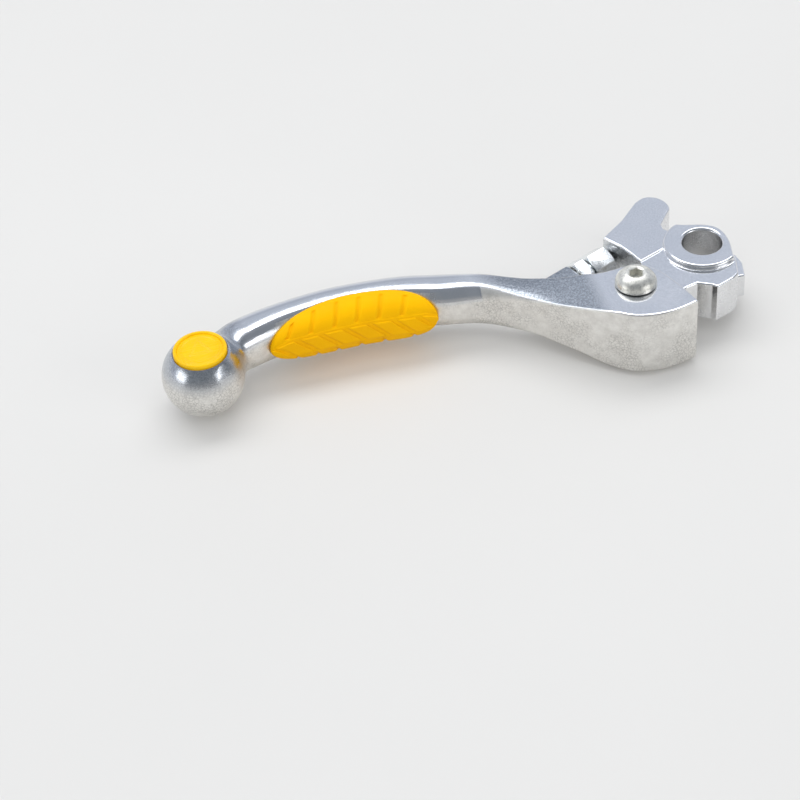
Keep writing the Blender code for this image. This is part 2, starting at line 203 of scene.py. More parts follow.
# Knocker outlines, anticlockwise
WEB_EDGE = (
    (-9.2, -14.0), (-6.3, -13.3), (-2.9, -15.2), (-1.9, -16.3), (3.0, -14.4), (4.8, -12.9),
    (6.4, -7.0), (6.6, -1.0), (4.0, 4.0), (-5.0, 6.0), (-10.7, 1.4), (-16.7, -1.0), (-17.6, -6.6),
)
FINGER_FRONT = ((-16.7, -1.0), (-10.7, 1.4), (-5.0, 4.0), (-5.5, 8.0), (-6.8, 9.6))
FINGER_END = (
    (-6.7, 11.6), (-4.4, 14.5), (-2.4, 17.1), (-2.6, 20.0), (-4.2, 22.4), (-7.2, 23.5), (-10.2, 22.2),
)
FINGER_BACK = ((-15.9, 16.4), (-22.7, 11.2), (-19.6, 6.5), (-17.9, 2.6))
BOSS_EDGE = ((6.7, -2.0), (6.5, 2.2), (5.2, 4.9), (2.3, 6.7), (-1.4, 7.9))
TAB_EDGE = ((4.0, -9.7), (8.1, -9.7), (9.3, -4.7), (8.8, -1.2), (4.0, 1.0))

# Grip insert
INSERT_MIDDLE = -91.0
INSERT_HALF_LENGTH = 21.6
INSERT_REACH = math.radians(69)
INSERT_DEPTH = 2.2
INSERT_LIP = 0.5
INSERT_CROWN = 3.7
INSERT_SPREAD = 1.4
INSERT_BOXINESS = 3.0
INSERT_ENDS = (2.0, 3.4)
INSERT_FILL = 0.97
INSERT_POCKET_OUT = 4.0
INSERT_POCKET_GROW = -0.05
INSERT_SHOULDER = 0.87
INSERT_BORDER = 0.95
INSERT_EDGE_SHINE = 1.5
INSERT_HOLLOW_SHADE = 1.8
BAND_HALF = math.radians(21)
BAND_HALF_WIDTH = 2.6
BAND_TAPER = 1.5
BAND_WALL_SLOPE = 28
BAND_LIFT = 0.18
BLOCK_SHARE = 0.78
BLOCK_WALL = 0.28
BLOCK_PITCH = 6.2
BLOCK_LIFT = 0.38
BLOCK_SLANT = 3.2
CHANNEL_HALF = 0.75
GROOVE_DEPTH = 0.45
GROOVE_HALF = 1.0
GROOVE_LEAN = 2.2
GROOVE_END_SLOPE = 7
BORDER_DROP = 0.25
UPPER_GROOVES = (-106.1, -100.0, -93.8, -88.1, -82.5, -76.7)
LOWER_GROOVES = (-104.8, -99.4, -94.0, -88.0, -82.0, -74.7)

# Forging's finish: the x where each stretch starts to fade in and is full. The front's depth is in y
SLOPE_RIGHT = (-29.8, -34.0)
SLOPE_LEFT = (-62.0, -50.0)
GRIP_RIGHT = (-56.0, -64.0)
BALL_RIGHT = (-117.0, -121.0)
FRONT_LEFT = (-112.0, -108.0)
FRONT_RIGHT = (-66.0, -74.0)
FRONT_DEPTH = (12.0, 9.0)
PLATE_END = -58
# The grainy slope, grip and ball: rough-cast grain whose dark bluish colour is also painted shade
GRIP_GRAIN_AND_SHADE = 0.25
BALL_GRAIN_AND_SHADE = 0.50

# How far a face looks up where its buffing starts and is full
PLATE_BUFF = (0.80, 0.95)
GRIP_BUFF = (0.10, 0.55)
KNOCKER_BUFF = (0.35, 0.75)
KNOCKER_LEAST_BUFF = 0.6
TOP_FACE = 0.8
FRONT_DULLING = 0.85

# Forged aluminium: noise scales in cells to the metre, and colours
CLOUD_SCALE = 85
MOTTLE_SCALE = 420
GRAIN_SCALE = 2200
CRACK_SCALE = 1250
SATIN_DARK = (0.70, 0.685, 0.655)
SATIN_LIGHT = (0.88, 0.87, 0.84)
SATIN_WARM = (0.77, 0.75, 0.71)
SATIN_CRACK = (0.45, 0.44, 0.42)
SATIN_SPECK = (0.95, 0.94, 0.91)
BUFFED_COOL = (0.82, 0.84, 0.88)
BUFFED_PALE = (0.87, 0.88, 0.91)
BUFFED_PIT = (0.74, 0.76, 0.81)
BUFFED_GLINT = (0.95, 0.96, 0.98)
# Grainy skin: rough-cast grain, its dark bluish colour partly painted shade
SHADED_CAST_DARK = (0.29, 0.32, 0.36)
SHADED_CAST_LIGHT = (0.51, 0.54, 0.58)
# Edges: lightened for wear and as a painted highlight
EDGE_HIGHLIGHT_AND_WEAR = (0.94, 0.94, 0.95)

# Other finishes: the colours each one varies between
COOL_ZINC = (0.94, 0.97, 0.98)
WARM_ZINC = (0.98, 0.97, 0.90)
# Zinc edges: lightened for wear and as a painted highlight
ZINC_EDGE_HIGHLIGHT_AND_WEAR = (0.95, 0.95, 0.93)
BUSH_COLOURS = ((0.42, 0.42, 0.43), (0.58, 0.58, 0.60))
SPRING_COLOURS = ((0.22, 0.22, 0.24), (0.36, 0.36, 0.38))
RUBBER_COLOURS = ((0.97, 0.48, 0.0), (1.0, 0.53, 0.0))
# Rubber hollows: painted shade
RUBBER_HOLLOW_SHADE = (0.76, 0.33, 0.0)
# Rubber edges: a painted highlight
RUBBER_EDGE_HIGHLIGHT = (1.0, 0.60, 0.01)
PLASTIC_COLOURS = ((0.93, 0.53, 0.0), (0.98, 0.60, 0.004))
# Plastic hollows: painted shade
PLASTIC_HOLLOW_SHADE = (0.74, 0.36, 0.0)
FLOOR_COLOURS = ((0.62, 0.61, 0.59), (0.64, 0.63, 0.61))

# Room: shades by the angle in degrees from the horizon behind, over the top, to the horizon in front
ROOM_SHADES = (
    (0, (0.90, 0.90, 0.90)),
    (14, (0.66, 0.69, 0.76)),
    (24, (0.60, 0.63, 0.71)),
    (30, (0.46, 0.49, 0.55)),
    (36, (0.57, 0.61, 0.69)),
    (54, (0.54, 0.58, 0.66)),
    (84, (0.50, 0.52, 0.56)),
    (94, (0.25, 0.27, 0.30)),
    (150, (0.26, 0.28, 0.30)),
    (174, (0.40, 0.40, 0.40)),
    (180, (0.60, 0.60, 0.58)),
)
FLOOR_GLOW = 0.15
FLOOR_HALF = 3.0

# Softboxes in metres: name, centre, target, width and height, watts, and whether the metal mirrors it
SOFTBOXES = (
    ("overhead", (-0.07, 0.41, 1.01), (-0.07, 0, 0), (1.5, 0.5), 7.0, True),
    ("left_box", (-1.06, -0.20, 0.33), (-0.13, 0, 0), (0.5, 0.4), 1.5, True),
    ("right_box", (0.60, -0.72, 0.39), (-0.13, 0, 0), (0.5, 0.4), 1.5, True),
    ("fill", (-0.07, -0.9, 1.6), (-0.07, 0, 0), (2.5, 2.0), 16.0, False),
)

# Camera, in the frame's axes
CAMERA_PLACE = Vector((-161.94, -393.83, 355.19))
CAMERA_RIGHT = Vector((0.96428, -0.25733, -0.06279))
CAMERA_UP = Vector((0.22124, 0.65209, 0.72514))
CAMERA_LENS = 96.3


# ---- Mesh tools ----

def new_object(name, bm):
    bmesh.ops.recalc_face_normals(bm, faces=bm.faces)
    mesh = bpy.data.meshes.new(name)
    bm.to_mesh(mesh)
    bm.free()
    made = bpy.data.objects.new(name, mesh)
    bpy.context.scene.collection.objects.link(made)
    return made


def loft(rings):
    """A closed solid through rings of points that all have the same count."""
    bm = bmesh.new()
    rows = [[bm.verts.new(point) for point in ring] for ring in rings]
    count = len(rows[0])
    for low, high in zip(rows, rows[1:]):
        for i in range(count):
            j = (i + 1) % count
            bm.faces.new((low[i], low[j], high[j], high[i]))
    bm.faces.new(rows[0])
    bm.faces.new(rows[-1])
    return bm


def prism(outline, low, high):
    return loft([[(x, y, z) for x, y in outline] for z in (low, high)])


def inset(outline, distance):
    """The anticlockwise outline moved inwards by the distance, corner by corner."""
    points = [Vector(point).to_2d() for point in outline]
    made = []
    for before, here, after in zip([points[-1]] + points, points, points[1:] + [points[0]]):
        first = (here - before).normalized()
        second = (after - here).normalized()
        inward = Vector((-first.y - second.y, first.x + second.x)).normalized()
        lean = max(0.5, inward.dot(Vector((-first.y, first.x))))
        made.append(here + inward * distance / lean)
    return made


def plate(outline, low, high, chamfer):
    """A prism whose top and bottom edges are chamfered."""
    small = inset(outline, chamfer)
    levels = ((small, low), (outline, low + chamfer), (outline, high - chamfer), (small, high))
    return loft([[(x, y, z) for x, y in edge] for edge, z in levels])


def arc(centre, radius, start, sweep, steps):
    turns = (start + sweep * i / steps for i in range(steps + 1))
    return [(centre.x + radius * math.cos(a), centre.y + radius * math.sin(a)) for a in turns]


def circle(radius, height, sides, place):
    turns = (2 * math.pi * i / sides for i in range(sides))
    return [place @ Vector((radius * math.cos(a), radius * math.sin(a), height)) for a in turns]


def turned(profile, sides, place=NO_TURN):
    return loft([circle(radius, height, sides, place) for radius, height in profile])


def hexagon(flats, low, high, place=NO_TURN, turn=0.0):
    """A hexagonal prism, its first corner at the turn."""
    bm = prism(arc(ORIGIN, flats / math.sqrt(3), turn, 5 * math.pi / 3, 5), low, high)
    bmesh.ops.transform(bm, matrix=place, verts=bm.verts)
    return bm


def smooth_curve(points, steps):
    """Points on a Catmull-Rom curve through the given ones."""
    points = [Vector(point) for point in points]
    ends = [2 * points[0] - points[1]] + points + [2 * points[-1] - points[-2]]
    made = []
    for before, start, end, after in zip(ends, ends[1:], ends[2:], ends[3:]):
        for step in range(steps):
            t = step / steps
            made.append(0.5 * (2 * start + (end - before) * t
                               + (2 * before - 5 * start + 4 * end - after) * t * t
                               + (3 * start - before - 3 * end + after) * t ** 3))
    return made + [points[-1]]


def baked(made):
    """Applies the object's modifiers."""
    evaluated = made.evaluated_get(bpy.context.evaluated_depsgraph_get())
    mesh = bpy.data.meshes.new_from_object(evaluated)
    made.modifiers.clear()
    made.data = mesh


def combine(target, operation, bm):
    """Joins the shape to the target, or cuts it out, or keeps what both hold."""
    other = new_object("tool", bm)
    modifier = target.modifiers.new("combine", "BOOLEAN")
    modifier.operation = operation
    modifier.solver = "EXACT"
    modifier.object = other
    baked(target)
    bpy.data.objects.remove(other, do_unlink=True)


def skinned(made, voxel, smoothing):
    """Remeshes the shape on a fine grid and smooths it, which rounds its edges as a forging's are."""
    remesh = made.modifiers.new("skin", "REMESH")
    remesh.mode = "VOXEL"
    remesh.voxel_size = voxel
    smooth = made.modifiers.new("round", "SMOOTH")
    smooth.factor = 0.5
    smooth.iterations = smoothing
    baked(made)


def welded(made, distance):
    """Merges points that lie closer than the distance and drops the faces that collapse."""
    bm = bmesh.new()
    bm.from_mesh(made.data)
    bmesh.ops.remove_doubles(bm, verts=bm.verts, dist=distance)
    bmesh.ops.dissolve_degenerate(bm, edges=bm.edges, dist=distance)
    bm.to_mesh(made.data)
    bm.free()


def bevelled(made, width):
    welded(made, BEFORE_BEVEL)
    bevel = made.modifiers.new("round", "BEVEL")
    bevel.width = width
    bevel.segments = 3
    bevel.limit_method = "ANGLE"
    bevel.angle_limit = math.radians(28)
    baked(made)
    welded(made, AFTER_BEVEL)


def points_of(mesh):
    values = np.empty(len(mesh.vertices) * 3)
    mesh.vertices.foreach_get("co", values)
    return values.reshape(-1, 3)


def normals_of(mesh):
    values = np.empty(len(mesh.vertices) * 3, np.float32)
    mesh.vertex_normals.foreach_get("vector", values)
    return values.reshape(-1, 3)


def set_points(mesh, points):
    mesh.vertices.foreach_set("co", np.asarray(points, np.float32).ravel())
    mesh.update()


def mask(mesh, name, values):
    """Stores a number from 0 to 1 at each point, for a material to read."""
    made = mesh.attributes.new(name, "FLOAT", "POINT")
    made.data.foreach_set("value", np.clip(values, 0, 1).astype(np.float32))


def ramp(values, low, high):
    """0 below low and 1 above high, with a smooth step between."""
    t = np.clip((values - low) / (high - low), 0, 1)
    return t * t * (3 - 2 * t)


def edge_convexity(mesh):
    """Above 0 on outer edges, 0 on flat faces and below 0 in hollows."""
    points = points_of(mesh)
    ends = np.empty(len(mesh.edges) * 2, np.int32)
    mesh.edges.foreach_get("vertices", ends)
    ends = ends.reshape(-1, 2)
    total = np.zeros_like(points)
    count = np.zeros(len(points))
    for here, there in ((0, 1), (1, 0)):
        np.add.at(total, ends[:, here], points[ends[:, there]])
        np.add.at(count, ends[:, here], 1)
    lean = total / count[:, None] - points
    size = np.linalg.norm(points[ends[:, 0]] - points[ends[:, 1]], axis=1).mean()
    return -(lean * normals_of(mesh)).sum(1) / size


def place(made, body, nodes, material, slot, sharp=None):
    """Finishes a piece: metres, smooth shading, its material, and the body it rides on."""
    made.data.transform(Matrix.Scale(MM, 4))
    made.data.shade_smooth()
    if sharp is not None:
        made.data.set_sharp_from_angle(angle=math.radians(sharp))
    made.data.materials.clear()
    made.data.materials.append(material)
    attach(made, body)
    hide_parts(*nodes)


# ---- Materials ----

class Nodes:
    """A short way to write a material's nodes."""

    def __init__(self, name):
        self.material = bpy.data.materials.new(name)
        self.material.use_nodes = True
        self.tree = self.material.node_tree
        self.shader = self.tree.nodes["Principled BSDF"]
        self.place = self.add("ShaderNodeTexCoord").outputs["Object"]

    def add(self, kind):
        return self.tree.nodes.new(kind)

    def link(self, start, end):
        self.tree.links.new(start, end)

    def noise(self, scale, detail=3.0, roughness=0.55, stretch=(1, 1, 1)):
        mapping = self.add("ShaderNodeMapping")
        mapping.inputs["Scale"].default_value = stretch
        self.link(self.place, mapping.inputs["Vector"])
        made = self.add("ShaderNodeTexNoise")
        made.inputs["Scale"].default_value = scale
        made.inputs["Detail"].default_value = detail
        made.inputs["Roughness"].default_value = roughness
        self.link(mapping.outputs["Vector"], made.inputs["Vector"])
        return made.outputs["Fac"]

    def cracks(self, scale):
        """0 on the borders between irregular cells, rising inside them."""
        made = self.add("ShaderNodeTexVoronoi")
        made.feature = "DISTANCE_TO_EDGE"
        made.inputs["Scale"].default_value = scale
        self.link(self.place, made.inputs["Vector"])
        return made.outputs["Distance"]

    def mask(self, name):
        made = self.add("ShaderNodeAttribute")
        made.attribute_name = name
        return made.outputs["Fac"]

    def span(self, value, low, high, start=0.0, end=1.0):
        made = self.add("ShaderNodeMapRange")
        self.link(value, made.inputs["Value"])
        for socket, number in (("From Min", low), ("From Max", high), ("To Min", start), ("To Max", end)):
            made.inputs[socket].default_value = number
        return made.outputs["Result"]

    def math(self, operation, first, second):
        made = self.add("ShaderNodeMath")
        made.operation = operation
        for socket, value in zip(made.inputs, (first, second)):
            if isinstance(value, (int, float)):
                socket.default_value = value
            else:
                self.link(value, socket)
        return made.outputs["Value"]

    def mix(self, share, first, second):
        """Mixes two colours, each a tuple or a socket: a Mix node takes them at its sockets 6 and 7."""
        made = self.add("ShaderNodeMix")
        made.data_type = "RGBA"
        self.link(share, made.inputs["Factor"])
        for socket, value in zip(made.inputs[6:8], (first, second)):
            if isinstance(value, tuple):
                socket.default_value = (*value, 1.0)
            else:
                self.link(value, socket)
        return made.outputs[2]

    def blend(self, share, first, second):
        """Mixes two number sockets: a Mix node takes them at its sockets 2 and 3."""
        made = self.add("ShaderNodeMix")
        self.link(share, made.inputs["Factor"])
        self.link(first, made.inputs[2])
        self.link(second, made.inputs[3])
        return made.outputs[0]

    def bump(self, height, distance, strength=1.0, below=None):
        made = self.add("ShaderNodeBump")
        made.inputs["Distance"].default_value = distance
        if isinstance(strength, float):
            made.inputs["Strength"].default_value = strength
        else:
            self.link(strength, made.inputs["Strength"])
        self.link(height, made.inputs["Height"])
        if below is not None:
            self.link(below, made.inputs["Normal"])
        return made.outputs["Normal"]

    def surface(self, colour, roughness, normal=None):
        self.link(colour, self.shader.inputs["Base Color"])
        self.link(roughness, self.shader.inputs["Roughness"])
        if normal is not None:
            self.link(normal, self.shader.inputs["Normal"])


def satin_colour(m, clouds, mottle, grain):
    """Warm pale grey, mottled, with hairline crazing and bright specks."""
    crazing = m.math("MULTIPLY", m.span(m.cracks(CRACK_SCALE), 0.18, 0.03), m.span(clouds, 0.44, 0.56))
    crazing = m.math("MULTIPLY", crazing, m.span(grain, 0.4, 0.6, 0.25, 0.85))
    colour = m.mix(m.span(mottle, 0.32, 0.68), SATIN_DARK, SATIN_LIGHT)
    colour = m.mix(m.span(clouds, 0.35, 0.65, 0.0, 0.35), colour, SATIN_WARM)
    colour = m.mix(crazing, colour, SATIN_CRACK)
    return m.mix(m.span(grain, 0.62, 0.78, 0.0, 0.6), colour, SATIN_SPECK)


def buffed_colour(m, clouds, grain):
    """Cool grey with fine pits and glints."""
    colour = m.mix(m.span(clouds, 0.3, 0.7), BUFFED_COOL, BUFFED_PALE)
    colour = m.mix(m.span(grain, 0.50, 0.68, 0.0, 0.8), colour, BUFFED_PIT)
    return m.mix(m.span(grain, 0.44, 0.32, 0.0, 0.7), colour, BUFFED_GLINT)


def forged_roughness(m, clouds, mottle, grain, polish, cast_grain_and_shade):
    hairlines = m.noise(420, 3, 0.6, (1.0, 6.0, 6.0))
    satin = m.span(m.math("ADD", grain, mottle), 0.7, 1.3, 0.36, 0.50)
    buffed = m.span(m.math("ADD", hairlines, clouds), 0.7, 1.3, 0.12, 0.18)
    return m.blend(polish, satin, m.math("ADD", buffed, m.math("MULTIPLY", cast_grain_and_shade, 0.10)))


def forged_aluminium():
    """Satin, mottled walls; buffed faces by the polish mask; a grainy skin by the cast mask, its dark bluish
    colour partly painted shade; edges bright by the edge mask, for wear and as a painted highlight.
    """
    m = Nodes("forged_aluminium")
    m.shader.inputs["Metallic"].default_value = 1.0
    polish = m.mask("polish")
    cast_grain_and_shade = m.mask("cast_grain_and_shade")
    clouds = m.noise(CLOUD_SCALE, 5, 0.62)
    mottle = m.noise(MOTTLE_SCALE, 5, 0.65)
    grain = m.noise(GRAIN_SCALE, 3, 0.7)

    # Grainy skin: rough-cast grain in dark bluish colours that also paint shade
    shaded_grain = m.mix(m.span(grain, 0.40, 0.62), SHADED_CAST_DARK, SHADED_CAST_LIGHT)
    smooth = m.mix(cast_grain_and_shade, buffed_colour(m, clouds, grain), shaded_grain)
    colour = m.mix(polish, satin_colour(m, clouds, mottle, grain), smooth)
    # Edges lightened for wear and as a painted highlight
    colour = m.mix(m.span(m.mask("edge_wear_and_highlight"), 0.15, 0.75), colour, EDGE_HIGHLIGHT_AND_WEAR)

    strength = m.math("ADD", m.span(polish, 0, 1, 0.42, 0.10), m.math("MULTIPLY", cast_grain_and_shade, 0.20))
    fine = m.bump(grain, 0.00005, strength)
    wave = m.bump(mottle, 0.00006, m.span(polish, 0, 1, 0.22, 0.05), fine)
    m.surface(colour, forged_roughness(m, clouds, mottle, grain, polish, cast_grain_and_shade), wave)
    return m.material


def zinc_plating(name, tint, roughness, mottling):
    """Plating with cloudy passivation and a fine speckle."""
    m = Nodes(name)
    m.shader.inputs["Metallic"].default_value = 1.0
    clouds = m.noise(550, 5, 0.65)
    grain = m.noise(2100, 4, 0.7)
    dull = tuple((1 - mottling) * c for c in tint)
    colour = m.mix(m.span(clouds, 0.32, 0.68), dull, tint)
    colour = m.mix(m.span(grain, 0.50, 0.36, 0.0, 2 * mottling), colour, tuple(0.4 * c for c in tint))
    # Edges lightened for wear and as a painted highlight
    colour = m.mix(m.mask("edge_wear_and_highlight"), colour, ZINC_EDGE_HIGHLIGHT_AND_WEAR)
    rough = m.span(m.math("ADD", grain, clouds), 0.7, 1.3, roughness - 0.06, roughness + 0.08)
    m.surface(colour, rough, m.bump(grain, 0.00004, 0.35))
    return m.material


def plain_metal(name, colours, roughness):
    """Bare steel with fine turned rings."""
    m = Nodes(name)
    m.shader.inputs["Metallic"].default_value = 1.0
    clouds = m.noise(400, 4)
    colour = m.mix(m.span(clouds, 0.3, 0.7), *colours)
    rings = m.noise(900, 2, 0.5, (0.3, 0.3, 6.0))
    m.surface(colour, m.span(rings, 0.3, 0.7, roughness - 0.05, roughness + 0.1), m.bump(rings, 0.00003, 0.4))
    return m.material


def yellow_rubber():
    """Matte moulding with a fine grain, with painted shade in its hollows and a painted highlight on its
    edges.
    """
    m = Nodes("yellow_rubber")
    m.shader.inputs["Specular IOR Level"].default_value = 0.08
    clouds = m.noise(120, 4, 0.6)
    grain = m.noise(2200, 4, 0.7)
    colour = m.mix(m.span(clouds, 0.3, 0.7), *RUBBER_COLOURS)
    # Hollows darkened: painted shade
    colour = m.mix(m.span(m.mask("shaded_hollow"), 0.0, 1.0, 0.0, 0.75), colour, RUBBER_HOLLOW_SHADE)
    # Edges lightened: a painted highlight
    colour = m.mix(m.span(m.mask("edge_wear_and_highlight"), 0.1, 0.9, 0.0, 0.5), colour, RUBBER_EDGE_HIGHLIGHT)
    rough = m.span(m.math("ADD", grain, clouds), 0.7, 1.3, 0.50, 0.68)
    m.surface(colour, rough, m.bump(grain, 0.00005, 0.45))
    return m.material


def yellow_plastic():
    """Glossy moulding with faint flow marks and handling scratches."""
    m = Nodes("yellow_plastic")
    m.shader.inputs["Coat Weight"].default_value = 0.06
    m.shader.inputs["Coat Roughness"].default_value = 0.15
    m.shader.inputs["Specular IOR Level"].default_value = 0.2
    clouds = m.noise(160, 3)
    scratches = m.noise(700, 3, 0.6, (0.4, 5.0, 1.0))
    colour = m.mix(m.span(clouds, 0.3, 0.7), *PLASTIC_COLOURS)
    # Hollows darkened: painted shade
    colour = m.mix(m.mask("shaded_hollow"), colour, PLASTIC_HOLLOW_SHADE)
    m.surface(colour, m.span(scratches, 0.3, 0.75, 0.20, 0.34), m.bump(m.noise(500, 3), 0.00003, 0.3))
    return m.material


# ---- Blade ----

def blade_ring(x, middle, depth, height, radius, crown):
    """A rounded rectangle across the blade, crowned above and below, anticlockwise seen from the pivot."""
    corner_steps = 9
    flat_steps = 4
    ring = []
    for quarter in range(4):
        side_y = 1 if quarter in (0, 3) else -1
        side_z = 1 if quarter in (0, 1) else -1
        for step in range(corner_steps):
            angle = math.pi / 2 * (quarter + step / (corner_steps - 1))
            ring.append((side_y * (depth - radius) + radius * math.cos(angle),
                         side_z * (height - radius) + radius * math.sin(angle)))
        if quarter in (0, 2):
            reach = side_y * (depth - radius)
            ring.extend((reach * (1 - 2 * i / flat_steps), side_z * height) for i in range(1, flat_steps))
    made = []
    for y, z in ring:
        lift = crown * (1 - (y / depth) ** 2) * min(1.0, abs(z) / (height - radius))
        made.append((x, middle + y, z + math.copysign(lift, z)))
    return made


def blade_rows():
    return smooth_curve(BLADE_SECTIONS, 10)


def section_at(x, rows):
    """Middle y, half depth and half height of the blade at x."""
    for low, high in zip(rows, rows[1:]):
        if low[0] <= x <= high[0]:
            return low.lerp(high, (x - low[0]) / (high[0] - low[0]))[1:4]
    raise ValueError("x is outside the blade")


def adjuster_place():
    """The adjuster's own axes: +Z along the screw, towards the finger."""
    direction = Vector((math.cos(ADJUSTER_ANGLE), math.sin(ADJUSTER_ANGLE), 0))
    return Matrix.Translation(ADJUSTER_POINT) @ direction.to_track_quat("Z", "Y").to_matrix().to_4x4()


def flat_topped(ring, top):
    """The ring cut level where it rises past the top."""
    return [(x, y, min(z, top)) for x, y, z in ring]


def hexagon_turn():
    """The turn that puts one of the hexagon's flats on top, then rolls it by the tilt."""
    level = adjuster_place().to_3x3().inverted() @ UP
    return math.atan2(level.y, level.x) + math.pi / 6 + ADJUSTER_TILT


def ball_shape():
    ball = bmesh.new()
    bmesh.ops.create_uvsphere(ball, u_segments=128, v_segments=64, radius=BALL_RADIUS,
                              matrix=Matrix.Translation(BALL_CENTRE))
    return ball


def softened(mesh, share, rounds):
    """Relaxes the skin where share is above 0, as a blend ground by hand."""
    points = points_of(mesh)
    ends = np.empty(len(mesh.edges) * 2, np.int32)
    mesh.edges.foreach_get("vertices", ends)
    ends = ends.reshape(-1, 2)
    loose = share > NECK_LOOSE
    ends = ends[loose[ends[:, 0]] | loose[ends[:, 1]]]
    count = np.zeros(len(points))
    np.add.at(count, ends[:, 0], 1)
    np.add.at(count, ends[:, 1], 1)
    count = np.maximum(count, 1)[:, None]
    for _ in range(rounds):
        total = np.zeros_like(points)
        np.add.at(total, ends[:, 0], points[ends[:, 1]])
        np.add.at(total, ends[:, 1], points[ends[:, 0]])
        points[loose] += (NECK_PULL * share[:, None] * (total / count - points))[loose]
    set_points(mesh, points)


def neck_share(mesh):
    """1 round the line where the neck runs into the ball, fading out over a few millimetres."""
    points = points_of(mesh)
    from_ball = np.linalg.norm(points - np.array(BALL_CENTRE), axis=1) - BALL_RADIUS
    from_axis = np.hypot(points[:, 0] - BALL_CENTRE.x, points[:, 1])
    near_ball = ramp(from_ball, *NECK_OUTSIDE_BALL) * ramp(from_ball, *NECK_INSIDE_BALL)
    return near_ball * ramp(from_axis, *NECK_OFF_CAP) * ramp(points[:, 0], *NECK_LEFT)


def true_ball(mesh):
    """Puts the ball's skin back on its sphere, away from the neck."""
    points = points_of(mesh)
    centre = np.array(BALL_CENTRE)
    from_centre = points - centre
    distance = np.linalg.norm(from_centre, axis=1)
    on_ball = np.abs(distance - BALL_RADIUS) < BALL_SKIN
    points[on_ball] = centre + from_centre[on_ball] * (BALL_RADIUS / distance[on_ball])[:, None]
    set_points(mesh, points)


def insert_rings(rows, slices, steps, grow=0.0, outer_extra=0.0, relief=None):
    """Slices of the insert, or of its pocket, across the blade: the outer skin, then the inner one back."""
    rings = []
    for i in range(slices):
        along = math.sin(math.pi / 2 * (2 * i / (slices - 1) - 1) * INSERT_FILL)
        width = math.sqrt(1 - abs(along) ** INSERT_ENDS[along > 0])
        x = INSERT_MIDDLE + (INSERT_HALF_LENGTH + grow) * along
        middle, depth, height = section_at(x, rows)
        reach = INSERT_REACH * width + grow / depth
        outer = []
        inner = []
        for step in range(steps + 1):
            angle = reach * (2 * step / steps - 1)
            bulge = width * (1 - (angle / reach) ** 4)
            cut = relief(x, angle, reach, width) if relief else 0.0
            front = depth + outer_extra + INSERT_LIP + INSERT_CROWN * bulge + cut
            top = height + outer_extra + INSERT_LIP + INSERT_SPREAD * bulge + cut
            forward = math.cos(angle)
            upward = math.sin(angle)
            power = INSERT_BOXINESS
            boxed = (abs(forward) ** power + abs(upward) ** power) ** (-1 / power)
            outer.append((x, middle - front * forward * boxed, top * upward * boxed))
            inner.append((x, middle - (depth - INSERT_DEPTH) * forward, (height - INSERT_DEPTH) * upward))
        rings.append(outer + inner[::-1])
    return rings


def blade_body(rows):
    """The lofted blade with its ball and the adjuster's lug, before it is cut."""
    blade = new_object("blade_forging", loft([blade_ring(*row) for row in rows]))
    combine(blade, "UNION", ball_shape())
    lug = ((LUG_RADIUS, LUG_START), (LUG_RADIUS, LUG_END - LUG_EDGE), (LUG_RADIUS - LUG_EDGE, LUG_END))
    combine(blade, "UNION", loft([flat_topped(circle(radius, height, 72, adjuster_place()), LUG_FLAT)
                                  for radius, height in lug]))
    return blade


def cut_nose(blade):
    """Shapes the fork's open end and bevels its upper edge."""
    outside = [(-10.0, -24.0), (-9.0, CLEAR_FRONT), (CLEAR_RIGHT, CLEAR_FRONT), (CLEAR_RIGHT, CLEAR_REAR),
               (NOSE_EDGE[0][0], CLEAR_REAR)]
    nose = smooth_curve(NOSE_EDGE, 8) + outside
    combine(blade, "DIFFERENCE", prism(nose, -FAR, FAR))
    under = 0.05
    over = 0.5
    bevel = ((-under, PLATE_TOP - TOP_BEVEL - under), (TOP_BEVEL + over, PLATE_TOP + over))
    combine(blade, "DIFFERENCE", loft([[(x, y, z) for x, y in inset(nose, -reach)] for reach, z in bevel]))


def cut_fork(blade):
    """Cuts the slot that the knocker's tongue turns in."""
    left = arc(HINGE, SLOT_RADIUS, math.radians(70), math.radians(200), 40)
    slot = left + [(CLEAR_RIGHT, HINGE.y - SLOT_RADIUS), (CLEAR_RIGHT, CLEAR_REAR), (left[0][0], CLEAR_REAR)]
    combine(blade, "DIFFERENCE", prism(slot, -SLOT_HALF, SLOT_HALF))


def cut_holes(blade, rows):
    """Cuts the hinge's hole, the nut's pocket, the adjuster's hole and the insert's pocket."""
    combine(blade, "DIFFERENCE", turned(((HINGE_HOLE, -FAR), (HINGE_HOLE, FAR)), 48, HINGE_PLACE))
    combine(blade, "DIFFERENCE", hexagon(NUT_POCKET_FLATS, -FAR, NUT_TOP + GAP, HINGE_PLACE))
    adjuster_hole = ((ADJUSTER_HOLE, ADJUSTER_HOLE_END), (ADJUSTER_HOLE, 0))
    combine(blade, "DIFFERENCE", turned(adjuster_hole, 48, adjuster_place()))
    pocket = insert_rings(rows, slices=33, steps=21, grow=INSERT_POCKET_GROW, outer_extra=INSERT_POCKET_OUT)
    combine(blade, "DIFFERENCE", loft(pocket))


def cut_cap_recess(blade):
    floor = CAP_TOP - CAP_THICKNESS - GAP
    recess = ((STEM_RADIUS + GAP, floor - STEM_LENGTH - GAP), (STEM_RADIUS + GAP, floor),
              (RECESS_RADIUS, floor), (RECESS_RADIUS, FAR))
    combine(blade, "DIFFERENCE", turned(recess, 144, CAP_PLACE))


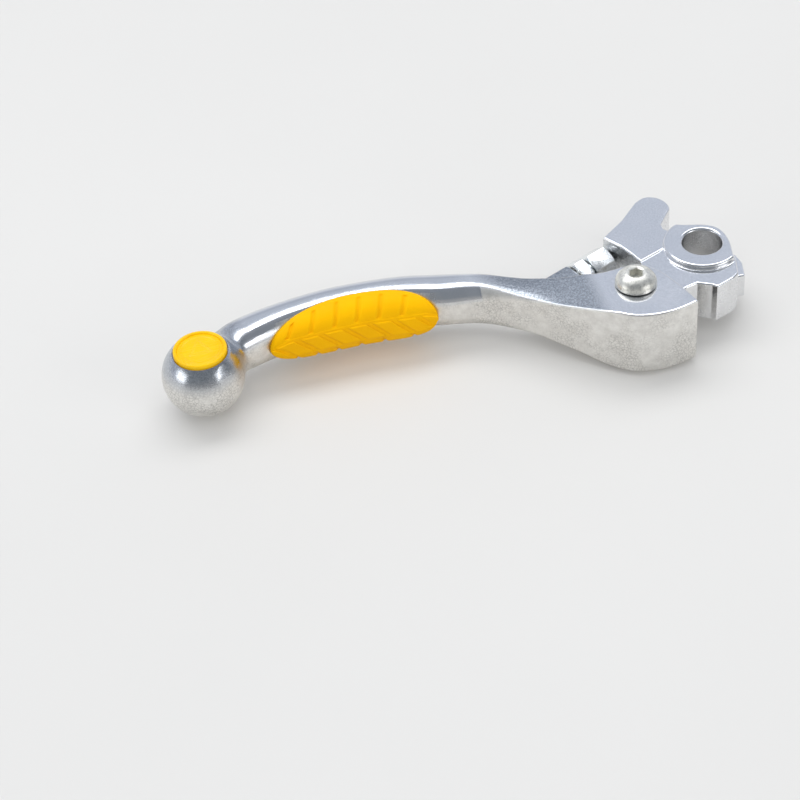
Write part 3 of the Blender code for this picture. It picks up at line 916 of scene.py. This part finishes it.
def blade_masks(mesh):
    """A buffed top, satin walls, a grainy slope, grip and ball whose dark bluish colour is partly painted
    shade, and edges lightened for wear and as a painted highlight.
    """
    x, y, _ = points_of(mesh).T
    upward = normals_of(mesh)[:, 2]
    polish = np.where(x > PLATE_END, ramp(upward, *PLATE_BUFF), ramp(upward, *GRIP_BUFF))
    grip_front = ramp(y, *FRONT_DEPTH) * ramp(x, *FRONT_LEFT) * ramp(x, *FRONT_RIGHT)
    mask(mesh, "polish", polish * (1 - FRONT_DULLING * grip_front * (upward < TOP_FACE)))
    slope = ramp(x, *SLOPE_RIGHT) * ramp(x, *SLOPE_LEFT)
    grip = GRIP_GRAIN_AND_SHADE * ramp(x, *GRIP_RIGHT) + BALL_GRAIN_AND_SHADE * ramp(x, *BALL_RIGHT)
    mask(mesh, "cast_grain_and_shade", np.maximum(slope, grip))
    # Edges: lightened for wear and as a painted highlight
    mask(mesh, "edge_wear_and_highlight", edge_convexity(mesh) * EDGE_SHINE)


def make_blade(material):
    rows = blade_rows()
    blade = blade_body(rows)
    cut_nose(blade)
    cut_fork(blade)
    cut_holes(blade, rows)
    skinned(blade, BLADE_VOXEL, BLADE_SMOOTHING)
    true_ball(blade.data)
    softened(blade.data, neck_share(blade.data), NECK_SMOOTHING)
    cut_cap_recess(blade)
    blade_masks(blade.data)
    place(blade, "blade", ["lever_blade"], material, "forged_aluminium", sharp=60)


# ---- Knocker ----

def knocker_body():
    """The web with its tongue, the pivot boss, the finger and the stop tab, joined."""
    tongue = arc(HINGE, TONGUE_RADIUS, math.radians(100), math.radians(185), 36)
    web = plate(list(WEB_EDGE) + tongue, -WEB_HALF, WEB_HALF, KNOCKER_CHAMFER)
    knocker = new_object("knocker_forging", web)
    boss = arc(ORIGIN, BOSS_RADIUS, math.radians(114), math.radians(190), 64)
    boss += smooth_curve((boss[-1],) + BOSS_EDGE + (boss[0],), 6)[1:-1]
    combine(knocker, "UNION", plate(boss, -BOSS_HALF, BOSS_HALF, TOP_BEVEL))
    finger = list(FINGER_FRONT) + smooth_curve(FINGER_END, 8) + list(FINGER_BACK)
    combine(knocker, "UNION", plate(finger, -FINGER_HALF, FINGER_HALF, KNOCKER_CHAMFER))
    combine(knocker, "UNION", plate(TAB_EDGE, TAB_LOW, TAB_HIGH, KNOCKER_CHAMFER))
    return knocker


def make_knocker(material):
    knocker = knocker_body()
    mouth = BOSS_HALF - BORE_LEAD
    wide = BORE_RADIUS + BORE_LEAD_OUT
    bore = ((wide, -mouth - BORE_LEAD_OUT), (BORE_RADIUS, -mouth), (BORE_RADIUS, mouth),
            (wide, mouth + BORE_LEAD_OUT))
    combine(knocker, "DIFFERENCE", turned(bore, 96))
    combine(knocker, "DIFFERENCE", turned(((BUSH_HOLE, -FAR), (BUSH_HOLE, FAR)), 64, HINGE_PLACE))
    pocket = ((SPRING_POCKET, SPRING_POCKET_FLOOR), (SPRING_POCKET, FAR))
    combine(knocker, "DIFFERENCE", turned(pocket, 64, HINGE_PLACE))
    skinned(knocker, KNOCKER_VOXEL, KNOCKER_SMOOTHING)
    normals = normals_of(knocker.data)
    buffed = np.maximum(ramp(normals[:, 2], *KNOCKER_BUFF), KNOCKER_LEAST_BUFF)
    mask(knocker.data, "polish", buffed)
    mask(knocker.data, "cast_grain_and_shade", np.zeros(len(normals)))
    # Edges: lightened for wear and as a painted highlight
    mask(knocker.data, "edge_wear_and_highlight", edge_convexity(knocker.data) * EDGE_SHINE)
    place(knocker, "knocker", ["knocker"], material, "forged_aluminium")


# ---- Grip insert ----

def groove(offset, half_width):
    """1 on a groove's middle line, falling smoothly to 0 at its edges."""
    return 0.5 + 0.5 * math.cos(math.pi * min(1.0, abs(offset) / half_width))


def tread_block(along, across):
    """1 inside a slanted block of the band's tread, 0 in the channels round it."""
    cell = (along + BLOCK_SLANT * across) % BLOCK_PITCH - BLOCK_PITCH / 2
    inside = min(BLOCK_PITCH / 2 - CHANNEL_HALF - abs(cell), BAND_HALF_WIDTH * (BLOCK_SHARE - abs(across)))
    return max(0.0, min(1.0, inside / BLOCK_WALL))


def side_grooves(x, angle, shoulder):
    """How deep the slanted grooves above and below the band are."""
    along = (abs(angle) - BAND_HALF) / (shoulder - BAND_HALF)
    middle = x - GROOVE_LEAN * along + GROOVE_LEAN
    end_fade = min(1.0, (1 - abs(2 * along - 1)) * GROOVE_END_SLOPE)
    places = UPPER_GROOVES if angle > 0 else LOWER_GROOVES
    return GROOVE_DEPTH * end_fade * sum(groove(middle - at, GROOVE_HALF) for at in places)


def insert_relief(x, angle, reach, width):
    """How far the moulded pattern lifts the insert's skin, in millimetres."""
    side = abs(angle)
    shoulder = reach * INSERT_SHOULDER
    band_edge = BAND_HALF * min(1.0, width * BAND_TAPER)
    border = reach * INSERT_BORDER
    lift = BAND_LIFT * max(0.0, min(1.0, (band_edge - side) * BAND_WALL_SLOPE))
    if BAND_HALF < side < shoulder:
        lift -= side_grooves(x, angle, shoulder)
    if side < band_edge:
        lift += BLOCK_LIFT * tread_block(x - INSERT_MIDDLE, angle / band_edge)
    if side > border:
        lift -= BORDER_DROP * (side - border) / (reach - border)
    return lift


def make_insert(material):
    rings = insert_rings(blade_rows(), slices=300, steps=170, relief=insert_relief)
    insert = new_object("grip_rubber", loft(rings))
    smooth = insert.modifiers.new("soften", "SMOOTH")
    smooth.factor = 0.5
    smooth.iterations = 1
    baked(insert)
    edge_wear_and_highlight = edge_convexity(insert.data)
    # Edges: a painted highlight
    mask(insert.data, "edge_wear_and_highlight", edge_wear_and_highlight * INSERT_EDGE_SHINE)
    # Hollows: painted shade
    mask(insert.data, "shaded_hollow", -edge_wear_and_highlight * INSERT_HOLLOW_SHADE)
    place(insert, "blade", ["grip_insert"], material, "yellow_rubber")


# ---- Ball cap ----

def cap_relief(x, y):
    """A ring and a triangle raised from the cap's face."""
    ring = groove(math.hypot(x, y) - CAP_RING_RADIUS, CAP_RING_HALF)
    slant = math.sqrt(3) / 2 * abs(x) + y / 2
    triangle = groove(max(-y, slant) - CAP_TRIANGLE_REACH, CAP_TRIANGLE_HALF)
    return CAP_RELIEF * max(ring, triangle)


def cap_profile(rim, face):
    """The stem, the cap's wall, its rounded rim and its crowned face, from the foot up."""
    low = CAP_TOP - CAP_THICKNESS
    foot = low - STEM_LENGTH
    lead = 0.35
    corner = 0.1
    profile = [(STEM_RADIUS - lead, foot), (STEM_RADIUS, foot + lead), (STEM_RADIUS, low),
               (CAP_RADIUS - corner, low), (CAP_RADIUS, low + corner), (CAP_RADIUS, CAP_TOP - CAP_EDGE)]
    edge_steps = 8
    for i in range(1, edge_steps + 1):
        angle = math.pi * i / edge_steps
        profile.append((CAP_RADIUS - CAP_EDGE + CAP_EDGE * math.cos(angle),
                        CAP_TOP - CAP_EDGE + CAP_EDGE * math.sin(angle)))
    face_steps = 50
    centre = 0.05
    for i in range(face_steps + 1):
        radius = rim + (centre - rim) * i / face_steps
        profile.append((radius, face + CAP_CROWN * (1 - (radius / rim) ** 2)))
    return profile


def make_cap(material):
    rim = CAP_RADIUS - CAP_RIM_WIDTH
    face = CAP_TOP - CAP_FACE_DROP
    cap = new_object("ball_badge", turned(cap_profile(rim, face), 160))
    points = points_of(cap.data)
    on_face = (np.hypot(points[:, 0], points[:, 1]) < rim) & (points[:, 2] > face - 0.01)
    points[on_face, 2] += [cap_relief(x, y) for x, y in points[on_face, :2]]
    set_points(cap.data, points)
    cap.data.transform(CAP_PLACE)
    mask(cap.data, "shaded_hollow", np.zeros(len(points)))
    place(cap, "blade", ["ball_cap"], material, "yellow_plastic", sharp=40)


# ---- Fasteners ----

def screw_profile():
    """A threaded shank, a straight rim, the dome and the flat round the socket, from the end up."""
    tip = 0.4
    thread_start = SCREW_END + 0.6
    thread_depth = 0.28
    thread_points = 44
    profile = [(SCREW_RADIUS - tip, SCREW_END), (SCREW_RADIUS, SCREW_END + tip)]
    profile += [(SCREW_RADIUS - thread_depth * (i % 2), thread_start + i / 4) for i in range(thread_points)]
    edge = 0.15
    profile += [(SCREW_RADIUS, -0.6), (SCREW_RADIUS, 0.0), (HEAD_RADIUS - edge, 0.0), (HEAD_RADIUS, edge),
                (HEAD_RADIUS, HEAD_RIM)]
    sweep = math.radians(64)
    steps = 16
    shoulder = HEAD_RADIUS - 0.05
    for i in range(1, steps + 1):
        angle = sweep * i / steps
        drop = (1 - math.cos(angle)) / (1 - math.cos(sweep))
        rise = math.sin(angle) / math.sin(sweep)
        profile.append((shoulder - (shoulder - HEAD_LAND) * drop, HEAD_RIM + (HEAD_HEIGHT - HEAD_RIM) * rise))
    return profile


def make_hinge_screw(material):
    """A button-head screw with a hexagon socket."""
    seat = Matrix.Translation(UP * SCREW_SEAT) @ HINGE_PLACE
    screw = new_object("hinge_screw_head", turned(screw_profile(), 96, seat))
    socket = hexagon(SOCKET_FLATS, HEAD_HEIGHT - SOCKET_DEPTH, HEAD_HEIGHT + 2, seat, SOCKET_TURN)
    combine(screw, "DIFFERENCE", socket)
    lead_in = ((1.6, HEAD_HEIGHT - 0.34), (2.55, HEAD_HEIGHT + 0.1))
    combine(screw, "DIFFERENCE", turned(lead_in, 64, seat))
    bevelled(screw, SCREW_BEVEL)
    mask(screw.data, "edge_wear_and_highlight", np.zeros(len(screw.data.vertices)))
    place(screw, "blade", ["hinge_screw"], material, "zinc_plated_steel", sharp=30)


def nut_shape(name, flats, low, high, turn=0.0):
    """A hexagon with both ends chamfered to a circle."""
    nut = new_object(name, hexagon(flats, low, high, turn=turn))
    corner = flats / math.sqrt(3)
    chamfer = 0.32 * (corner - flats / 2) + 0.25
    face = flats / 2 - 0.15
    side = corner + 0.1
    barrel = ((face, low), (side, low + chamfer), (side, high - chamfer), (face, high))
    combine(nut, "INTERSECT", turned(barrel, 96))
    return nut


def bored(nut, radius, low, high):
    """Cuts a hole with a lead-in at each end."""
    lead = 0.5
    past = 0.01
    bore = ((radius + lead, low - past), (radius, low + lead), (radius, high - lead),
            (radius + lead, high + past))
    combine(nut, "DIFFERENCE", turned(bore, 64))


def threaded(radius, low, high, pitch):
    """A thread's outline as plain grooves."""
    depth = 0.26
    count = int((high - low) / pitch * 2)
    return [(radius - depth * (i % 2), low + (high - low) * i / count) for i in range(count + 1)]


def domed_end():
    """The profile of the adjuster's rounded tip, which rests on the finger."""
    start = HEAD_SHOULDER - 0.2
    steps = 9
    short_of_axis = 0.97
    profile = [(DOME_RADIUS, HEAD_SHOULDER - 1.0), (DOME_RADIUS, start)]
    for i in range(1, steps + 1):
        angle = math.pi / 2 * i / steps * short_of_axis
        profile.append((DOME_RADIUS * math.cos(angle), start + DOME_RISE * math.sin(angle)))
    return profile


def make_adjuster_screw(material):
    screw = nut_shape("adjuster_head", ADJUSTER_FLATS, HEAD_START, HEAD_SHOULDER, hexagon_turn())
    combine(screw, "UNION", turned(domed_end(), 64))
    bevelled(screw, NUT_BEVEL)
    shank = [(SHANK_RADIUS - 0.5, SHANK_END)]
    shank += threaded(SHANK_RADIUS, SHANK_END + 0.3, HEAD_START - 0.4, THREAD_PITCH)
    shank.append((SHANK_RADIUS - 0.1, HEAD_START + 0.1))
    combine(screw, "UNION", turned(shank, 64))
    screw.data.transform(adjuster_place())
    # Edges: lightened for wear and as a painted highlight
    mask(screw.data, "edge_wear_and_highlight", edge_convexity(screw.data))
    place(screw, "adjuster", ["adjuster_screw"], material, "zinc_plated_steel", sharp=30)


def make_locknut(material):
    nut = nut_shape("adjuster_nut", ADJUSTER_FLATS, LOCKNUT_FAR, LOCKNUT_NEAR, hexagon_turn())
    bored(nut, ADJUSTER_HOLE, LOCKNUT_FAR, LOCKNUT_NEAR)
    bevelled(nut, NUT_BEVEL)
    nut.data.transform(adjuster_place())
    # Edges: lightened for wear and as a painted highlight
    mask(nut.data, "edge_wear_and_highlight", edge_convexity(nut.data))
    place(nut, "locknut", ["adjuster_locknut"], material, "zinc_plated_steel", sharp=30)


def make_hinge_nut(material):
    nut = nut_shape("hinge_nut_body", NUT_FLATS, NUT_BOTTOM, NUT_TOP)
    bored(nut, HINGE_HOLE, NUT_BOTTOM, NUT_TOP)
    bevelled(nut, NUT_BEVEL)
    nut.data.transform(HINGE_PLACE)
    # Edges: lightened for wear and as a painted highlight
    mask(nut.data, "edge_wear_and_highlight", edge_convexity(nut.data))
    place(nut, "blade", ["hinge_nut"], material, "zinc_plated_steel", sharp=30)


# ---- Stage ----

def pale_floor():
    m = Nodes("pale_floor")
    clouds = m.noise(5, 3)
    colour = m.mix(m.span(clouds, 0.3, 0.7), *FLOOR_COLOURS)
    m.link(colour, m.shader.inputs["Emission Color"])
    m.shader.inputs["Emission Strength"].default_value = FLOOR_GLOW
    m.surface(colour, m.span(clouds, 0, 1, 0.7, 0.8))
    bm = bmesh.new()
    bmesh.ops.create_grid(bm, x_segments=1, y_segments=1, size=FLOOR_HALF)
    floor = new_object("floor", bm)
    floor.location.z = CAD_BOX[0].z
    floor.data.materials.append(m.material)


def softbox(name, centre, target, size, watts, mirrored):
    light = bpy.data.lights.new(name, "AREA")
    light.shape = "RECTANGLE"
    light.size, light.size_y = size
    light.energy = watts
    made = bpy.data.objects.new(name, light)
    made.visible_glossy = mirrored
    made.location = centre
    made.rotation_mode = "QUATERNION"
    made.rotation_quaternion = (Vector(target) - Vector(centre)).to_track_quat("-Z", "Y")
    bpy.context.scene.collection.objects.link(made)


def height_turn(tree):
    """0 at the horizon behind, a half overhead and 1 at the horizon in front."""
    direction = tree.nodes.new("ShaderNodeTexCoord")
    parts = tree.nodes.new("ShaderNodeSeparateXYZ")
    tree.links.new(direction.outputs["Generated"], parts.inputs["Vector"])
    turn = tree.nodes.new("ShaderNodeMath")
    turn.operation = "ARCTAN2"
    tree.links.new(parts.outputs["Z"], turn.inputs[0])
    tree.links.new(parts.outputs["Y"], turn.inputs[1])
    share = tree.nodes.new("ShaderNodeMath")
    share.operation = "DIVIDE"
    share.inputs[1].default_value = math.pi
    tree.links.new(turn.outputs["Value"], share.inputs[0])
    return share.outputs["Value"]


def room():
    """A pale room round the stand: a dim band behind, a dim ceiling in front, pale walls and sides."""
    world = bpy.data.worlds.new("room")
    world.use_nodes = True
    tree = world.node_tree
    shades = tree.nodes.new("ShaderNodeValToRGB")
    stops = shades.color_ramp.elements
    for degrees, _ in ROOM_SHADES[len(stops):]:
        stops.new(degrees / 180)
    for stop, (degrees, colour) in zip(stops, ROOM_SHADES):
        stop.position = degrees / 180
        stop.color = (*colour, 1.0)
    tree.links.new(height_turn(tree), shades.inputs["Fac"])
    tree.links.new(shades.outputs["Color"], tree.nodes["Background"].inputs["Color"])
    bpy.context.scene.world = world


def camera():
    data = bpy.data.cameras.new("camera")
    data.lens = CAMERA_LENS
    data.sensor_width = 36.0
    data.clip_start = 0.01
    data.clip_end = 20.0
    made = bpy.data.objects.new("camera", data)
    back = CAMERA_RIGHT.cross(CAMERA_UP)
    turn = Matrix((CAMERA_RIGHT, CAMERA_UP, back)).transposed().to_4x4()
    made.matrix_world = Matrix.Translation(CAMERA_PLACE * MM) @ turn
    bpy.context.scene.collection.objects.link(made)
    bpy.context.scene.camera = made


def finish_hidden_nodes():
    """The bush and the spring keep their CAD shape and take a material."""
    finishes = {
        "hinge_bush": plain_metal("turned_steel", BUSH_COLOURS, roughness=0.32),
        "return_spring": plain_metal("spring_wire", SPRING_COLOURS, roughness=0.38),
    }
    for node, material in finishes.items():
        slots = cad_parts[node].data.materials
        slots.clear()
        slots.append(material)


def make_lever():
    forged = forged_aluminium()
    cool_zinc = zinc_plating("bright_zinc", COOL_ZINC, roughness=0.17, mottling=0.08)
    warm_zinc = zinc_plating("warm_zinc", WARM_ZINC, roughness=0.40, mottling=0.28)
    make_blade(forged)
    make_knocker(forged)
    make_insert(yellow_rubber())
    make_cap(yellow_plastic())
    make_hinge_screw(warm_zinc)
    make_hinge_nut(warm_zinc)
    make_adjuster_screw(cool_zinc)
    make_locknut(cool_zinc)
    finish_hidden_nodes()


def make_stage():
    bpy.context.scene.view_settings.view_transform = "Standard"
    pale_floor()
    room()
    for box in SOFTBOXES:
        softbox(*box)
    camera()


make_lever()
make_stage()
